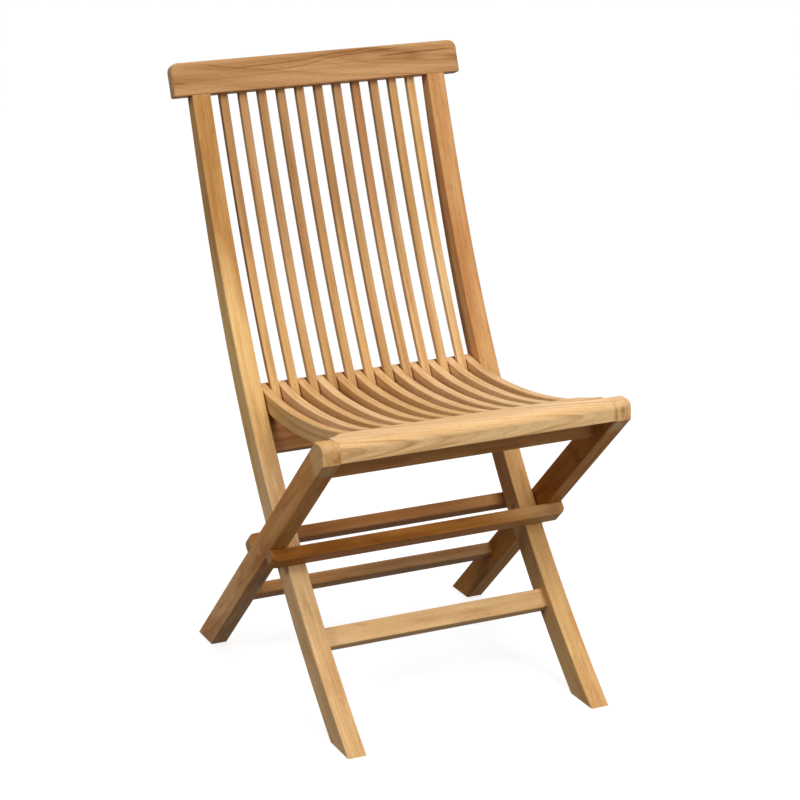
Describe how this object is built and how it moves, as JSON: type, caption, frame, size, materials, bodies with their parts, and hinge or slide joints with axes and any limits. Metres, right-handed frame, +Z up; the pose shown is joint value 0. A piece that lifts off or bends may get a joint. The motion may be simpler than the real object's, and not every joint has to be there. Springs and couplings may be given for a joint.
{
  "type": "folding patio chair",
  "caption": "Slatted hardwood chair that folds flat: swept back frame, crossing legs and a dished slatted seat that tilts up as the legs close.",
  "frame": {"origin": "on the floor, centred across the chair and over its depth when it is open", "axes": "+X across the chair, -Y out of its front, +Z up"},
  "size_m": [0.46, 0.5718, 0.8802],
  "materials": {
    "teak": "sanded, lightly oiled teak",
    "teak_plug": "teak plugs sanded flush",
    "hardware": "stainless bolts, nuts, washers and pins"
  },
  "bodies": {
    "back_frame": {"left_stile": "teak", "right_stile": "teak", "crest_rail": "teak", "lower_back_rail": "teak", "front_stretcher": "teak", "back_slat_01": "teak", "back_slat_02": "teak", "back_slat_03": "teak", "back_slat_04": "teak", "back_slat_05": "teak", "back_slat_06": "teak", "back_slat_07": "teak", "back_slat_08": "teak", "back_slat_09": "teak", "back_slat_10": "teak", "back_slat_11": "teak", "left_pivot_bolt": "hardware", "left_pivot_nut": "hardware", "left_pivot_washer": "hardware", "right_pivot_bolt": "hardware", "right_pivot_nut": "hardware", "right_pivot_washer": "hardware", "left_stile_plug": "teak_plug", "right_stile_plug": "teak_plug"},
    "leg_frame": {"left_leg": "teak", "right_leg": "teak", "front_stop_bar": "teak", "rear_cross_bar": "teak", "rear_stretcher": "teak", "leg_top_rail": "teak", "left_leg_plug": "teak_plug", "right_leg_plug": "teak_plug", "left_seat_pin": "hardware", "right_seat_pin": "hardware"},
    "seat": {"seat_front_rail": "teak", "seat_slat_01": "teak", "seat_slat_02": "teak", "seat_slat_03": "teak", "seat_slat_04": "teak", "seat_slat_05": "teak", "seat_slat_06": "teak", "seat_slat_07": "teak", "seat_slat_08": "teak", "seat_slat_09": "teak", "seat_slat_10": "teak", "seat_slat_11": "teak", "seat_slat_12": "teak", "seat_rear_rail": "teak"}
  },
  "joints": [
    {"name": "leg_fold", "type": "hinge", "parent": "back_frame", "child": "leg_frame", "pos_m": [0, -0.03105, 0.22652], "axis": [-1, 0, 0], "range_deg": [0, 60]},
    {"name": "seat_tilt", "type": "hinge", "parent": "leg_frame", "child": "seat", "pos_m": [0, -0.25692, 0.44063], "axis": [1, 0, 0], "range_deg": [0, 110]}
  ],
  "couplings": [
    {"joint": "seat_tilt", "follows": "leg_fold", "ratio": 1.78}
  ]
}
